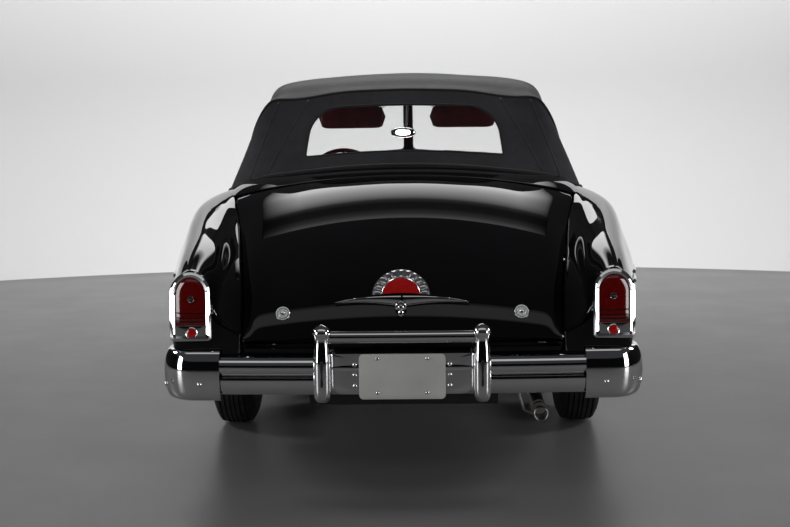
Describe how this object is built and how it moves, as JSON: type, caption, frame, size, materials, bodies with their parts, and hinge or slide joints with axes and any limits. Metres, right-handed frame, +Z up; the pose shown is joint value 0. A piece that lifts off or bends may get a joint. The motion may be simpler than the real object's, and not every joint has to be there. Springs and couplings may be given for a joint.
{
  "type": "convertible car",
  "caption": "Mid-century two-door convertible car with its cloth top up, a rounded body, opening doors, hood and deck lid, and steered, rolling wheels.",
  "frame": {"origin": "on the ground under the middle of the car, at the bottom centre of its bounding box", "axes": "+Z up, -Y towards the nose, +Y towards the tail, +X to the car's left side"},
  "size_m": [1.9652, 5.2516, 1.5739],
  "materials": {
    "body_paint": "deep gloss black enamel",
    "canvas": "matte black woven top cloth",
    "window_glass": "clear polished glass",
    "chrome": "polished chrome plate",
    "wheel_chrome": "chromed cover on painted steel rim",
    "tyre": "matte black rubber",
    "chassis_black": "satin black chassis paint",
    "exhaust_steel": "bare steel, slightly tarnished",
    "engine_iron": "painted cast iron",
    "seat_leather": "maroon leather",
    "carpet": "dark maroon carpet over steel",
    "dash_paint": "satin maroon enamel",
    "wheel_plastic": "glossy maroon plastic",
    "lamp_red": "red lens in a chrome bezel",
    "lamp_glass": "fluted clear lens"
  },
  "bodies": {
    "chassis": {"column": "wheel_plastic", "cowl": "body_paint", "dashboard": "dash_paint", "deck_surround": "body_paint", "engine": "engine_iron", "exhaust": "exhaust_steel", "fixed_glass": "window_glass", "floor_pan": "carpet", "frame": "chassis_black", "front_bumper": "chrome", "front_fender_left": "body_paint", "front_fender_right": "body_paint", "front_panel": "body_paint", "front_seat": "seat_leather", "front_suspension": "chassis_black", "fuel_tank": "chassis_black", "grille": "chrome", "headlamps": "lamp_glass", "radiator": "chassis_black", "rear_axle": "chassis_black", "rear_bumper": "chrome", "rear_quarter_left": "body_paint", "rear_quarter_right": "body_paint", "rear_seat": "seat_leather", "rear_window": "window_glass", "sill_left": "body_paint", "sill_right": "body_paint", "soft_top": "canvas", "tail_lamps": "lamp_red", "tail_panel": "body_paint", "windshield_frame": "chrome"},
    "door_left": {"door_left": "body_paint", "door_glass_left": "window_glass"},
    "door_right": {"door_right": "body_paint", "door_glass_right": "window_glass"},
    "hood": {"hood": "body_paint"},
    "deck_lid": {"deck_lid": "body_paint"},
    "steering_wheel": {"steering_wheel": "wheel_plastic"},
    "knuckle_left": {"knuckle_left": "chassis_black"},
    "knuckle_right": {"knuckle_right": "chassis_black"},
    "front_wheel_left": {"tyre_front_left": "tyre", "wheel_front_left": "wheel_chrome"},
    "front_wheel_right": {"tyre_front_right": "tyre", "wheel_front_right": "wheel_chrome"},
    "rear_wheel_left": {"tyre_rear_left": "tyre", "wheel_rear_left": "wheel_chrome"},
    "rear_wheel_right": {"tyre_rear_right": "tyre", "wheel_rear_right": "wheel_chrome"}
  },
  "joints": [
    {"name": "steer_left", "type": "hinge", "parent": "chassis", "child": "knuckle_left", "pos_m": [0.64, -1.75, 0.352], "axis": [0, 0, 1], "range_deg": [-31, 31]},
    {"name": "steer_right", "type": "hinge", "parent": "chassis", "child": "knuckle_right", "pos_m": [-0.64, -1.75, 0.352], "axis": [0, 0, 1], "range_deg": [-31, 31]},
    {"name": "roll_front_left", "type": "hinge", "parent": "knuckle_left", "child": "front_wheel_left", "pos_m": [0.743, -1.75, 0.352], "axis": [1, 0, 0], "continuous": true},
    {"name": "roll_front_right", "type": "hinge", "parent": "knuckle_right", "child": "front_wheel_right", "pos_m": [-0.743, -1.75, 0.352], "axis": [1, 0, 0], "continuous": true},
    {"name": "roll_rear_left", "type": "hinge", "parent": "chassis", "child": "rear_wheel_left", "pos_m": [0.762, 1.247, 0.352], "axis": [1, 0, 0], "continuous": true},
    {"name": "roll_rear_right", "type": "hinge", "parent": "chassis", "child": "rear_wheel_right", "pos_m": [-0.762, 1.247, 0.352], "axis": [1, 0, 0], "continuous": true},
    {"name": "door_left_hinge", "type": "hinge", "parent": "chassis", "child": "door_left", "pos_m": [0.976, -0.88, 0.6], "axis": [0, 0, -1], "range_deg": [0, 65]},
    {"name": "door_right_hinge", "type": "hinge", "parent": "chassis", "child": "door_right", "pos_m": [-0.976, -0.88, 0.6], "axis": [0, 0, 1], "range_deg": [0, 65]},
    {"name": "hood_hinge", "type": "hinge", "parent": "chassis", "child": "hood", "pos_m": [0, -1.04, 1.074], "axis": [-1, 0, 0], "range_deg": [0, 46]},
    {"name": "deck_lid_hinge", "type": "hinge", "parent": "chassis", "child": "deck_lid", "pos_m": [0, 1.475, 1.1215], "axis": [1, 0, 0], "range_deg": [0, 60]},
    {"name": "steering_wheel_turn", "type": "hinge", "parent": "chassis", "child": "steering_wheel", "pos_m": [0.365, -0.468, 0.9383], "axis": [0, 0.9419, 0.336], "range_deg": [-527, 527]}
  ],
  "couplings": [
    {"joint": "steer_right", "follows": "steer_left", "ratio": 1},
    {"joint": "steering_wheel_turn", "follows": "steer_left", "ratio": 17}
  ]
}
